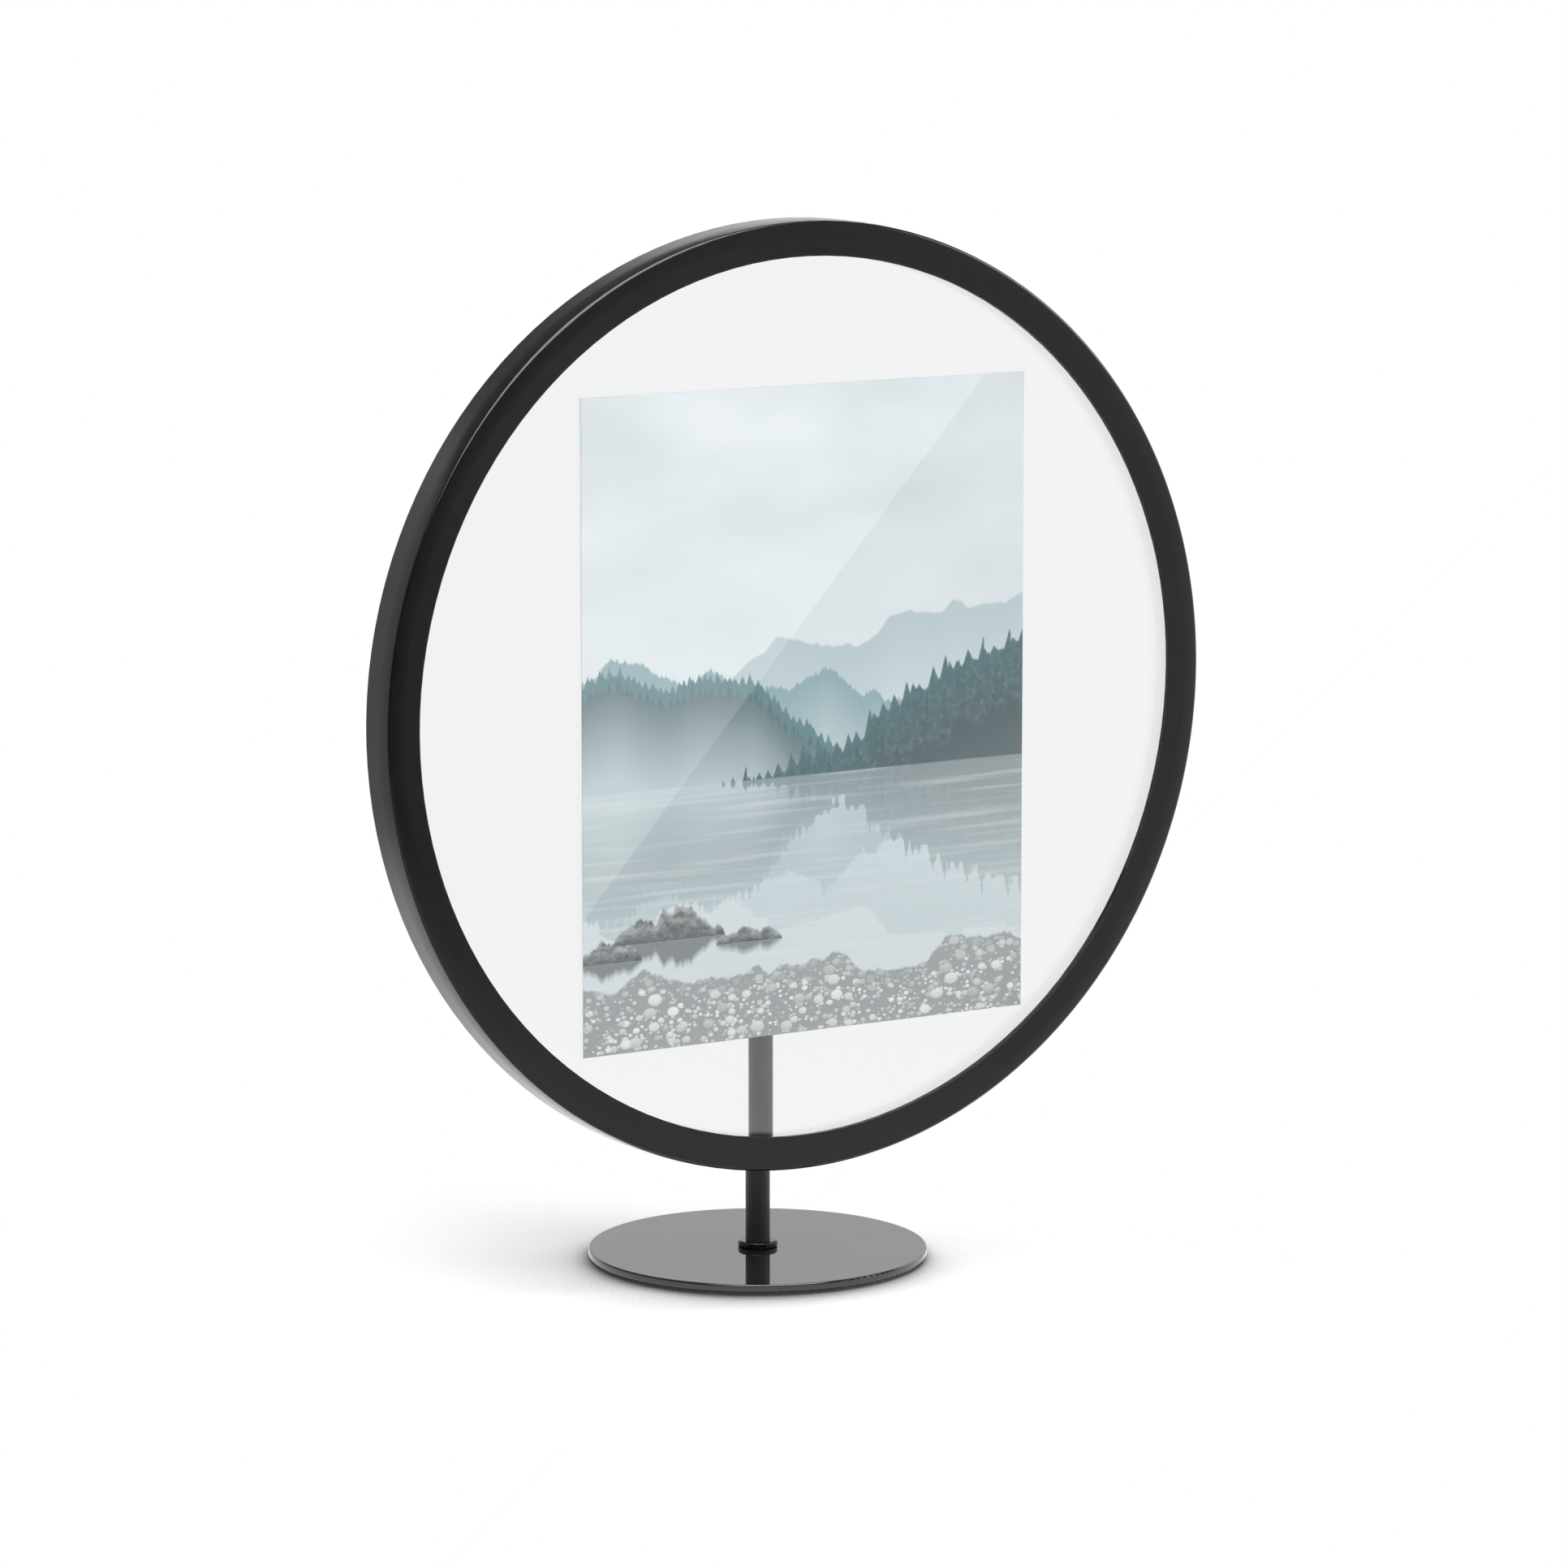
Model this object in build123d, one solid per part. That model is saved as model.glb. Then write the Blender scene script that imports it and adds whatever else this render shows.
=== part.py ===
from build123d import *
import os

# Round photo frame: a glazed ring with a floating print, on a post with a swivel and tilt knuckle.
# The origin is under the middle of the base. +Z is up, and the ring faces -Y.

# Driving dimensions, in millimetres and degrees

# Ring, a rolled sheet of L section: a flat face and a deep rim, both bowed back a little at their corner
ring_diameter = 260.6
face_width = 9.7
ring_depth = 12.0
ring_sheet = 1.0
face_bow = 0.3
face_bow_length = 4.2
rim_bow = 0.35
rim_bow_length = 5.0
ring_edge_radius = 0.8
ring_lip_radius = 0.25
ring_centre_height = 160.0
post_to_face = 26.4

# Glass, print and what seats them, from the face backwards
front_gasket_thickness = 1.2
front_gasket_inset = 0.2
front_gasket_rim_clearance = 1.2
front_gasket_gap = 19.2
front_gasket_gap_angle = -32.4
pane_thickness = 2.0
pane_clearance = 0.3
pane_edge_bevel = 0.3
print_width = 142.0
print_height = 178.0
print_thickness = 0.25
print_clearance = 0.05
print_drop = 3.3
print_shift = 1.5
rear_gasket_thickness = 1.0
rear_gasket_width = 5.2
rear_gasket_edge = 0.3
retainer_thickness = 1.2
retainer_width = 5.0
retainer_clearance = 0.3
retainer_post_clearance = 4.7
lug_length = 6.0
lug_reach = 1.2
lug_wall = 1.2
lug_hole_diameter = 1.8

# Base
base_diameter = 94.4
plate_thickness = 2.0
plate_edge_radius = 0.5
pad_thickness = 1.0
pad_inset = 0.7
pad_hole_diameter = 14.0

# Post, its collar and its foot screw
post_diameter = 6.8
collar_diameter = 11.0
collar_height = 1.8
collar_edge_radius = 0.5
base_screw_diameter = 4.0
base_screw_head_diameter = 6.8
base_screw_head_land = 0.2
base_screw_engagement = 12.0
base_screw_socket = 2.5
base_screw_socket_depth = 1.0

# Swivel on the top of the post
head_diameter = 12.0
head_below_pivot = 10.0
head_above_pivot = 8.0
head_edge_radius = 0.8
spigot_diameter = 5.0
spigot_relief = 0.15
bush_wall = 0.8
bush_length = 8.0
bush_flange_diameter = 10.0
bush_flange_thickness = 1.0
head_web = 2.0
swivel_washer_diameter = 8.0
swivel_washer_thickness = 0.8
swivel_screw_diameter = 3.0
swivel_screw_head_diameter = 5.5
swivel_screw_head_height = 2.0
swivel_screw_engagement = 8.0
swivel_screw_socket = 2.0
counterbore_clearance = 0.5

# Tilt pivot between the swivel head and the glass
pivot_offset = 10.5
pivot_plate_diameter = 38.0
pivot_plate_thickness = 2.0
pivot_plate_edge_radius = 0.5
bond_thickness = 0.5
bond_inset = 1.0
knuckle_radius = 4.5
tongue_thickness = 5.0
friction_washer_thickness = 0.5
friction_washer_diameter = 8.0
ear_thickness = 2.5
tilt_screw_diameter = 4.0
tilt_screw_head_diameter = 7.6
tilt_screw_head_height = 2.2
tilt_screw_head_radius = 0.9
tilt_screw_socket = 2.5
tilt_screw_socket_depth = 1.3
tilt_screw_point = 1.0
tilt_nut_flats = 7.0
tilt_nut_thickness = 3.2
tilt_nut_chamfer = 0.4

# Fits
thread_fit = 0.02
running_fit = 0.05
washer_fit = 0.15
drill_allowance = 1.0

# Ring radii
ring_r = ring_diameter / 2
opening_r = ring_r - face_width
rim_inner_r = ring_r - ring_sheet
pane_r = rim_inner_r - pane_clearance

# Depths of the stack behind the ring's face
front_gasket_depth = ring_sheet
front_glass_depth = front_gasket_depth + front_gasket_thickness
print_depth = front_glass_depth + pane_thickness + print_clearance
rear_glass_depth = print_depth + print_thickness + print_clearance
rear_gasket_depth = rear_glass_depth + pane_thickness
retainer_depth = rear_gasket_depth + rear_gasket_thickness
bond_depth = rear_gasket_depth
pivot_plate_depth = bond_depth + bond_thickness
ear_depth = pivot_plate_depth + pivot_plate_thickness

# Heights of the stand
plate_bottom = pad_thickness
plate_top = plate_bottom + plate_thickness
head_bottom = ring_centre_height - head_below_pivot
head_top = ring_centre_height + head_above_pivot
post_shoulder = head_bottom - bush_flange_thickness
web_bottom = head_bottom + bush_length
web_top = web_bottom + head_web
spigot_top = web_top - spigot_relief
swivel_washer_top = web_top + swivel_washer_thickness

# Places along the tilt axis
ear_inner_x = tongue_thickness / 2 + friction_washer_thickness
ear_outer_x = ear_inner_x + ear_thickness
nut_outer_x = ear_outer_x + tilt_nut_thickness
pivot_y = -pivot_offset

# Round fits shared by two pieces
tilt_hole_r = tilt_screw_diameter / 2 + running_fit
spigot_r = spigot_diameter / 2
bush_inner_r = spigot_r + running_fit
bush_outer_r = bush_inner_r + bush_wall
base_tap_r = base_screw_diameter / 2 + thread_fit
swivel_tap_r = swivel_screw_diameter / 2 + thread_fit


def ring_plane(depth):
    """Plane parallel to the ring's face at a depth behind it, with its normal to the front."""
    return Plane(
        origin=(0, depth - post_to_face, ring_centre_height), x_dir=(1, 0, 0), z_dir=(0, -1, 0)
    )


def layer(sketch, depth, thickness):
    """Flat piece of the ring's stack, its front at a depth behind the ring's face."""
    return extrude(ring_plane(depth) * sketch, amount=-thickness)


def annulus(outer_r, inner_r):
    return Circle(outer_r) - Circle(inner_r)


def rod(radius, bottom, top):
    """Upright cylinder on the post's axis."""
    return extrude(Pos(0, 0, bottom) * Circle(radius), amount=top - bottom)


def cross_rod(radius, start_x, end_x):
    """Cylinder on the tilt axis."""
    plane = Plane(origin=(start_x, pivot_y, ring_centre_height), x_dir=(0, 1, 0), z_dir=(1, 0, 0))
    return extrude(plane * Circle(radius), amount=end_x - start_x)


def circle_edges(shape, radius):
    """Full round edges of one radius."""
    round_edges = shape.edges().filter_by(GeomType.CIRCLE)
    return round_edges.filter_by(lambda edge: abs(edge.radius - radius) < running_fit / 10)


def front_edges(edges):
    return edges.group_by(Axis.Y)[0]


# Ring and glass stack

def make_ring_frame():
    """Section of radius and depth, turned round the ring's axis."""
    face_end = (ring_r - rim_bow - face_bow_length, 0)
    corner = (ring_r - rim_bow, face_bow)
    rim_start = (ring_r, face_bow + rim_bow_length)
    inside = [
        (ring_r, ring_depth), (rim_inner_r, ring_depth),
        (rim_inner_r, ring_sheet), (opening_r, ring_sheet),
    ]
    outline = [
        Line((opening_r, 0), face_end),
        TangentArc(face_end, corner, tangent=(1, 0)),
        TangentArc(rim_start, corner, tangent=(0, -1)),
        Polyline(rim_start, *inside, (opening_r, 0)),
    ]
    section = Plane(origin=(0, -post_to_face, ring_centre_height), x_dir=(1, 0, 0), z_dir=(0, 0, 1))
    ring = revolve(section * make_face(outline), Axis((0, 0, ring_centre_height), (0, 1, 0)))
    ring = fillet(circle_edges(ring, ring_r - rim_bow), ring_edge_radius)
    ring = fillet(front_edges(circle_edges(ring, opening_r)), ring_lip_radius)
    return fillet(circle_edges(ring, ring_r).group_by(Axis.Y)[-1], ring_lip_radius)


def make_front_gasket():
    """Strip bent round behind the face, with its square ends a gap apart."""
    strip = annulus(rim_inner_r - front_gasket_rim_clearance, opening_r + front_gasket_inset)
    gap = Pos(ring_r / 2, 0) * Rectangle(ring_r, front_gasket_gap)
    return layer(strip - Rot(0, 0, front_gasket_gap_angle) * gap, front_gasket_depth, front_gasket_thickness)


def make_pane(depth):
    pane = layer(Circle(pane_r), depth, pane_thickness)
    return chamfer(circle_edges(pane, pane_r), pane_edge_bevel)


def make_photo_print():
    sheet = Pos(print_shift, -print_drop) * Rectangle(print_width, print_height)
    return layer(sheet, print_depth, print_thickness)


def make_rear_gasket():
    outer_r = pane_r - rear_gasket_edge
    return layer(annulus(outer_r, outer_r - rear_gasket_width), rear_gasket_depth, rear_gasket_thickness)


def make_retaining_ring():
    """Spring C ring, open at the bottom for the post, with a holed lug at each end."""
    outer_r = rim_inner_r - retainer_clearance
    inner_r = outer_r - retainer_width
    gap = post_diameter + 2 * retainer_post_clearance
    band = annulus(outer_r, inner_r) - Pos(0, -ring_r / 2) * Rectangle(gap, ring_r)
    lug_tip = inner_r - lug_reach
    lug_root = inner_r + retainer_width / 4
    hole_middle = lug_tip + lug_wall + lug_hole_diameter / 2
    lug_middle_x = (gap + lug_length) / 2
    for side in (-1, 1):
        lug = Pos(side * lug_middle_x, -(lug_tip + lug_root) / 2) * Rectangle(lug_length, lug_root - lug_tip)
        hole = Pos(side * lug_middle_x, -hole_middle) * Circle(lug_hole_diameter / 2)
        band = band + lug - hole
    return layer(band, retainer_depth, retainer_thickness)


# Tilt pivot

def knuckle(start_x, end_x, root_y):
    """Bar with a round end on the tilt axis, from that axis to a root along Y."""
    middle_y = (pivot_y + root_y) / 2
    outline = Pos(pivot_y, ring_centre_height) * Circle(knuckle_radius)
    outline += Pos(middle_y, ring_centre_height) * Rectangle(abs(root_y - pivot_y), 2 * knuckle_radius)
    return extrude(Plane.YZ.offset(start_x) * outline, amount=end_x - start_x)


def make_bond_pad():
    return layer(Circle(pivot_plate_diameter / 2 - bond_inset), bond_depth, bond_thickness)


def make_pivot_plate():
    plate = layer(Circle(pivot_plate_diameter / 2), pivot_plate_depth, pivot_plate_thickness)
    back_edge = circle_edges(plate, pivot_plate_diameter / 2).group_by(Axis.Y)[-1]
    plate = fillet(back_edge, pivot_plate_edge_radius)
    ear_root_y = ear_depth - pivot_plate_thickness / 2 - post_to_face
    plate += knuckle(ear_inner_x, ear_outer_x, ear_root_y)
    plate += knuckle(-ear_outer_x, -ear_inner_x, ear_root_y)
    return plate - cross_rod(tilt_hole_r, -ear_outer_x - drill_allowance, ear_outer_x + drill_allowance)


def make_friction_washers():
    washers = []
    for start_x in (-ear_inner_x, tongue_thickness / 2):
        end_x = start_x + friction_washer_thickness
        washer = cross_rod(friction_washer_diameter / 2, start_x, end_x)
        bore_r = tilt_screw_diameter / 2 + washer_fit
        bore = cross_rod(bore_r, start_x - drill_allowance, end_x + drill_allowance)
        washers.append(washer - bore)
    return Compound(children=washers)


def hex_prism(flats, start_x, end_x):
    """Hexagon across flats on the tilt axis."""
    plane = Plane(origin=(start_x, pivot_y, ring_centre_height), x_dir=(0, 1, 0), z_dir=(1, 0, 0))
    hexagon = RegularPolygon(flats / 2, 6, major_radius=False)
    return extrude(plane * hexagon, amount=end_x - start_x)


def make_tilt_screw():
    head_x = -ear_outer_x - tilt_screw_head_height
    head = cross_rod(tilt_screw_head_diameter / 2, head_x, -ear_outer_x)
    rim = circle_edges(head, tilt_screw_head_diameter / 2).group_by(Axis.X)[0]
    head = fillet(rim, tilt_screw_head_radius)
    shank = cross_rod(tilt_screw_diameter / 2, -ear_outer_x, nut_outer_x + tilt_screw_point)
    socket = hex_prism(tilt_screw_socket, head_x, head_x + tilt_screw_socket_depth)
    return head + shank - socket


def make_tilt_nut():
    nut = hex_prism(tilt_nut_flats, ear_outer_x, nut_outer_x)
    thread_r = tilt_screw_diameter / 2 + thread_fit
    bore = cross_rod(thread_r, ear_outer_x - drill_allowance, nut_outer_x + drill_allowance)
    outer_rim = nut.faces().sort_by(Axis.X)[-1].edges()
    return chamfer(outer_rim, tilt_nut_chamfer) - bore


# Swivel

def make_swivel_head():
    body = rod(head_diameter / 2, head_bottom, head_top)
    body = fillet(circle_edges(body, head_diameter / 2), head_edge_radius)
    body += knuckle(-tongue_thickness / 2, tongue_thickness / 2, 0)
    body -= rod(bush_outer_r + thread_fit, head_bottom - drill_allowance, web_bottom)
    body -= rod(bush_inner_r, web_bottom, web_top)
    counterbore_r = swivel_washer_diameter / 2 + counterbore_clearance
    body -= rod(counterbore_r, web_top, head_top + drill_allowance)
    return body - cross_rod(tilt_hole_r, -tongue_thickness, tongue_thickness)


def make_swivel_bush():
    bush = rod(bush_outer_r, head_bottom, web_bottom)
    bush += rod(bush_flange_diameter / 2, post_shoulder, head_bottom)
    return bush - rod(bush_inner_r, post_shoulder - drill_allowance, web_bottom + drill_allowance)


def make_swivel_washer():
    washer = rod(swivel_washer_diameter / 2, web_top, swivel_washer_top)
    bore_r = swivel_screw_diameter / 2 + washer_fit
    return washer - rod(bore_r, web_top - drill_allowance, swivel_washer_top + drill_allowance)


def hex_socket(flats, bottom, top):
    """Hexagon across flats on the post's axis."""
    hexagon = RegularPolygon(flats / 2, 6, major_radius=False)
    return extrude(Pos(0, 0, bottom) * hexagon, amount=top - bottom)


def make_swivel_screw():
    head_z = swivel_washer_top + swivel_screw_head_height
    screw = rod(swivel_screw_head_diameter / 2, swivel_washer_top, head_z)
    screw += rod(swivel_screw_diameter / 2, spigot_top - swivel_screw_engagement, swivel_washer_top)
    return screw - hex_socket(swivel_screw_socket, head_z - swivel_screw_head_height / 2, head_z)


# Stand

def make_post():
    post = rod(post_diameter / 2, plate_top, post_shoulder)
    post += rod(spigot_r, post_shoulder, spigot_top)
    post -= rod(base_tap_r, plate_top, plate_top + base_screw_engagement + drill_allowance)
    return post - rod(swivel_tap_r, spigot_top - swivel_screw_engagement - drill_allowance, spigot_top)


def make_foot_collar():
    collar = rod(collar_diameter / 2, plate_top, plate_top + collar_height)
    collar = fillet(circle_edges(collar, collar_diameter / 2), collar_edge_radius)
    bore_r = post_diameter / 2 + running_fit
    return collar - rod(bore_r, plate_top, plate_top + collar_height)


def countersunk_form(shank_r, head_r, top):
    """Flat head with its face at the plate's underside, and a shank up to a height."""
    land_top = plate_bottom + base_screw_head_land
    cone_height = head_r - shank_r
    cone = Pos(0, 0, land_top + cone_height / 2) * Cone(head_r, shank_r, cone_height)
    return rod(head_r, plate_bottom, land_top) + cone + rod(shank_r, land_top, top)


def make_base_plate():
    plate = rod(base_diameter / 2, plate_bottom, plate_top)
    plate = fillet(circle_edges(plate, base_diameter / 2), plate_edge_radius)
    hole_r = base_screw_diameter / 2 + running_fit
    head_r = base_screw_head_diameter / 2 + running_fit
    return plate - countersunk_form(hole_r, head_r, plate_top + drill_allowance)


def make_base_screw():
    top = plate_top + base_screw_engagement
    screw = countersunk_form(base_screw_diameter / 2, base_screw_head_diameter / 2, top)
    return screw - hex_socket(base_screw_socket, plate_bottom, plate_bottom + base_screw_socket_depth)


def make_base_pad():
    pad = rod(base_diameter / 2 - pad_inset, 0, pad_thickness)
    return pad - rod(pad_hole_diameter / 2, 0, pad_thickness)


nodes = {
    "ring_frame": make_ring_frame(),
    "front_gasket": make_front_gasket(),
    "front_glass": make_pane(front_glass_depth),
    "photo_print": make_photo_print(),
    "rear_glass": make_pane(rear_glass_depth),
    "rear_gasket": make_rear_gasket(),
    "retaining_ring": make_retaining_ring(),
    "bond_pad": make_bond_pad(),
    "pivot_plate": make_pivot_plate(),
    "tilt_screw": make_tilt_screw(),
    "tilt_nut": make_tilt_nut(),
    "friction_washers": make_friction_washers(),
    "swivel_head": make_swivel_head(),
    "swivel_bush": make_swivel_bush(),
    "swivel_washer": make_swivel_washer(),
    "swivel_screw": make_swivel_screw(),
    "post": make_post(),
    "foot_collar": make_foot_collar(),
    "base_plate": make_base_plate(),
    "base_screw": make_base_screw(),
    "base_pad": make_base_pad(),
}

os.makedirs("parts", exist_ok=True)
for name, shape in nodes.items():
    export_step(shape, f"parts/{name}.step")
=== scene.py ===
import bpy
import math
from mathutils import Matrix, Vector


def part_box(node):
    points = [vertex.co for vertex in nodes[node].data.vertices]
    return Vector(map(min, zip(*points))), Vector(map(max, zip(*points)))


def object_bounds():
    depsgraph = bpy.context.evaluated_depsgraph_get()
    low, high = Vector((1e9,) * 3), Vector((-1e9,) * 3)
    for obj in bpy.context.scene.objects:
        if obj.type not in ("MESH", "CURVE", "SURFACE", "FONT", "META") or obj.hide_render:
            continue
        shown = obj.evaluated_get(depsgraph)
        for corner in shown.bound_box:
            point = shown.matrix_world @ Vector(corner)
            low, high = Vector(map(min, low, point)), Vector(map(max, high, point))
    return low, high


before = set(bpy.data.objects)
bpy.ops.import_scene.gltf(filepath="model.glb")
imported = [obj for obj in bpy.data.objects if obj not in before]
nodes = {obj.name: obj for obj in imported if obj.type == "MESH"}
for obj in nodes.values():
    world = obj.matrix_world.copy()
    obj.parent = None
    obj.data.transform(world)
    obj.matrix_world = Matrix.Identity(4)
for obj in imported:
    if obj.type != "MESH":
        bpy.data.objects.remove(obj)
cad_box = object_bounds()

# Spans in which most noise lies, and its middle
NOISE_WIDE = (0.25, 0.75)
NOISE_MIDDLE = (0.3, 0.7)
NOISE_CENTRE = 0.5


def node(tree, kind, inputs=None, **settings):
    """Adds a node, sets its options, and links or fills its inputs."""
    made = tree.nodes.new(kind)
    for name, value in settings.items():
        setattr(made, name, value)
    fill(tree, made, inputs or {})
    return made


def fill(tree, made, inputs):
    """Links or sets a node's inputs."""
    for key, value in inputs.items():
        if isinstance(value, bpy.types.NodeSocket):
            tree.links.new(value, made.inputs[key])
        else:
            made.inputs[key].default_value = value


def calc(tree, operation, first, second=0.0):
    """Result of one Math node."""
    return node(tree, "ShaderNodeMath", {0: first, 1: second}, operation=operation).outputs[0]


def vector_calc(tree, operation, first, second=(0, 0, 0)):
    """Result of one Vector Math node: a value for a length or a dot product, and otherwise a vector."""
    made = node(tree, "ShaderNodeVectorMath", {0: first, 1: second}, operation=operation)
    return made.outputs["Value" if operation in ("LENGTH", "DOT_PRODUCT") else "Vector"]


# The Mix node's sockets share their names, so the next two functions find them by number
def blend_value(tree, share, first, second):
    """Value between two values."""
    return node(tree, "ShaderNodeMix", {0: share, 2: first, 3: second}).outputs[0]


def blend_colour(tree, share, first, second):
    """Colour between two colours."""
    return node(tree, "ShaderNodeMix", {0: share, 6: first, 7: second}, data_type="RGBA").outputs[2]


def ramp(tree, value, span=(0.0, 1.0), to=(0.0, 1.0), smooth=False):
    """A value moved from one span to another, and held inside it."""
    inputs = {"Value": value, "From Min": span[0], "From Max": span[1], "To Min": to[0], "To Max": to[1]}
    kind = "SMOOTHSTEP" if smooth else "LINEAR"
    return node(tree, "ShaderNodeMapRange", inputs, interpolation_type=kind).outputs["Result"]


def vector(tree, x, y=0.0, z=0.0):
    """Vector from three values."""
    return node(tree, "ShaderNodeCombineXYZ", {0: x, 1: y, 2: z}).outputs[0]


def noise(tree, place, scale, detail=2.0, roughness=0.5):
    """Noise from 0 to 1 over a place."""
    inputs = {"Vector": place, "Scale": scale, "Detail": detail, "Roughness": roughness}
    return node(tree, "ShaderNodeTexNoise", inputs).outputs["Fac"]


def line_noise(tree, along, scale, seed, detail):
    """Noise from 0 to 1 along one value."""
    start = calc(tree, "ADD", calc(tree, "MULTIPLY", along, scale), seed)
    inputs = {"W": start, "Scale": 1.0, "Detail": detail}
    return node(tree, "ShaderNodeTexNoise", inputs, noise_dimensions="1D").outputs["Fac"]


def bump(tree, height, distance, strength=1.0, below=None):
    """Surface normal from a height from 0 to 1 and a real distance in metres."""
    inputs = {"Height": height, "Distance": distance, "Strength": strength}
    if below is not None:
        inputs["Normal"] = below
    return node(tree, "ShaderNodeBump", inputs).outputs["Normal"]


def new_material(name):
    """Material with an empty tree, the object's own coordinates in metres, its shader and its output."""
    material = bpy.data.materials.new(name)
    material.use_nodes = True
    tree = material.node_tree
    tree.nodes.clear()
    place = node(tree, "ShaderNodeTexCoord").outputs["Object"]
    shader = node(tree, "ShaderNodeBsdfPrincipled")
    output = node(tree, "ShaderNodeOutputMaterial", {"Surface": shader.outputs["BSDF"]})
    return material, tree, place, shader, output


# Features per metre in the noise of the materials
PAINT_CLOUDS = 60
PAINT_SHEEN = 240
PAINT_PEEL = 1500
PAINT_SPECKS = 5200
RUBBER_SHEEN = 200
RUBBER_DUST = 900
FOAM_SKIN = 300
METAL_STAINS = 180
NYLON_FLOW = 700
GLASS_SMEARS = 25
PAPER_FIBRES = 900
# Spans of noise in which dust, pores and smears show
DUST_SPAN = (0.4, 0.8)
PORE_SPAN = (0.1, 0.7)
SMEAR_SPAN = (0.45, 0.8)
# Depths of grain in metres, and of foam pores and paint specks as shares of the cell and the peel
RUBBER_GRAIN = 0.000006
METAL_GRAIN = 0.00001
NYLON_GRAIN = 0.00002
PAPER_GRAIN = 0.000004
PORE_DEPTH = 0.2
SPECK_DEPTH = 0.25
SPECK_STRENGTH = 0.5
# Drawn metal: stretch of its grain, and how far its roughness varies
DRAWN_STRETCH = (1, 1, 12)
DRAWN_SPREAD = (-0.08, 0.1)
# Tints of the paint's shine, of the glass and of the light that passes through it
SHINE_TINT = (1.0, 0.97, 1.0, 1)
GLASS_TINT = (0.954, 0.956, 0.959, 1)
GLASS_LIGHT = (0.93, 0.94, 0.94, 1)
# Cut edge of the ring's opening: width of the ring's face and zone of the edge in metres, its shine, and its
# tone, a lighter colour painted on as painted reflection that stands in for the shine the edge loses
RING_FACE = 0.0097
CUT_EDGE_ZONE = (0.0003, 0.0006)
CUT_EDGE_SHINE = 0.12
CUT_EDGE_PAINTED_REFLECTION = (0.024, 0.0235, 0.024, 1)


def cut_edge_share(tree, place):
    """1 on the cut edge of the ring's opening, and 0 away from it."""
    low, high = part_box("ring_frame")
    spoke = vector_calc(tree, "SUBTRACT", place, (low + high) / 2)
    radius = vector_calc(tree, "LENGTH", vector_calc(tree, "MULTIPLY", spoke, (1, 0, 1)))
    opening = high.x - RING_FACE
    inner, outer = (opening + step for step in CUT_EDGE_ZONE)
    return ramp(tree, radius, (inner, outer), (1, 0))


def paint(name, colour, lift, roughness, spread, peel, shine=0.5, cut_edge=False):
    """Painted metal: an even coat with faint clouds, orange peel of a depth in metres and tiny specks."""
    material, tree, place, shader, _ = new_material(name)
    specks = noise(tree, place, PAINT_SPECKS, detail=1)
    clouds = calc(tree, "MULTIPLY", noise(tree, place, PAINT_CLOUDS, detail=3), specks)
    tone = blend_colour(tree, clouds, colour, lift)
    sheen = noise(tree, place, PAINT_SHEEN, detail=4)
    coat = bump(tree, noise(tree, place, PAINT_PEEL), peel)
    coat = bump(tree, specks, peel * SPECK_DEPTH, SPECK_STRENGTH, coat)
    # The cut edge gets less shine and a lighter painted tone, a painted reflection in place of the light its
    # shine would give
    if cut_edge:
        share = cut_edge_share(tree, place)
        tone = blend_colour(tree, share, tone, CUT_EDGE_PAINTED_REFLECTION)
        shine = ramp(tree, share, to=(shine, shine * CUT_EDGE_SHINE))
    fill(tree, shader, {
        "Base Color": tone,
        "Roughness": ramp(tree, sheen, NOISE_WIDE, (roughness - spread, roughness + spread)),
        "Normal": coat,
        "Specular IOR Level": shine,
        "Specular Tint": SHINE_TINT,
    })
    return material


def rubber(name, colour, lift):
    """Satin rubber with a little dust."""
    material, tree, place, shader, _ = new_material(name)
    dust = noise(tree, place, RUBBER_DUST, detail=3)
    sheen = noise(tree, place, RUBBER_SHEEN, detail=3)
    fill(tree, shader, {
        "Base Color": blend_colour(tree, ramp(tree, dust, DUST_SPAN), colour, lift),
        "Roughness": ramp(tree, sheen, NOISE_WIDE, (0.38, 0.52)),
        "Normal": bump(tree, dust, RUBBER_GRAIN),
        "Specular IOR Level": 0.2,
    })
    return material


def foam(name, colour, pore_colour, cell):
    """Closed-cell foam: small cells of a size in metres and a matt skin."""
    material, tree, place, shader, _ = new_material(name)
    cells = node(tree, "ShaderNodeTexVoronoi", {"Vector": place, "Scale": 1 / cell}).outputs["Distance"]
    skin = noise(tree, place, FOAM_SKIN, detail=3)
    fill(tree, shader, {
        "Base Color": blend_colour(tree, ramp(tree, cells, PORE_SPAN), pore_colour, colour),
        "Roughness": ramp(tree, skin, to=(0.75, 0.95)),
        "Normal": bump(tree, cells, cell * PORE_DEPTH),
        "Specular IOR Level": 0.3,
    })
    return material


def metal(name, colour, dark, roughness, grain):
    """Bare or plated metal with drawn grain, in lines per metre, and faint stains."""
    material, tree, place, shader, _ = new_material(name)
    drawn = node(tree, "ShaderNodeMapping", {"Vector": place, "Scale": DRAWN_STRETCH}).outputs[0]
    lines = noise(tree, drawn, grain, detail=4, roughness=0.7)
    stains = noise(tree, place, METAL_STAINS, detail=3)
    fill(tree, shader, {
        "Base Color": blend_colour(tree, ramp(tree, stains, NOISE_MIDDLE), dark, colour),
        "Metallic": 1.0,
        "Roughness": ramp(tree, lines, to=[roughness + step for step in DRAWN_SPREAD]),
        "Normal": bump(tree, lines, METAL_GRAIN),
    })
    return material


def nylon(name, colour, lift):
    """Nylon with faint flow clouds."""
    material, tree, place, shader, _ = new_material(name)
    flow = noise(tree, place, NYLON_FLOW, detail=3)
    fill(tree, shader, {
        "Base Color": blend_colour(tree, flow, colour, lift),
        "Roughness": ramp(tree, flow, to=(0.4, 0.55)),
        "Normal": bump(tree, flow, NYLON_GRAIN),
    })
    return material


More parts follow.
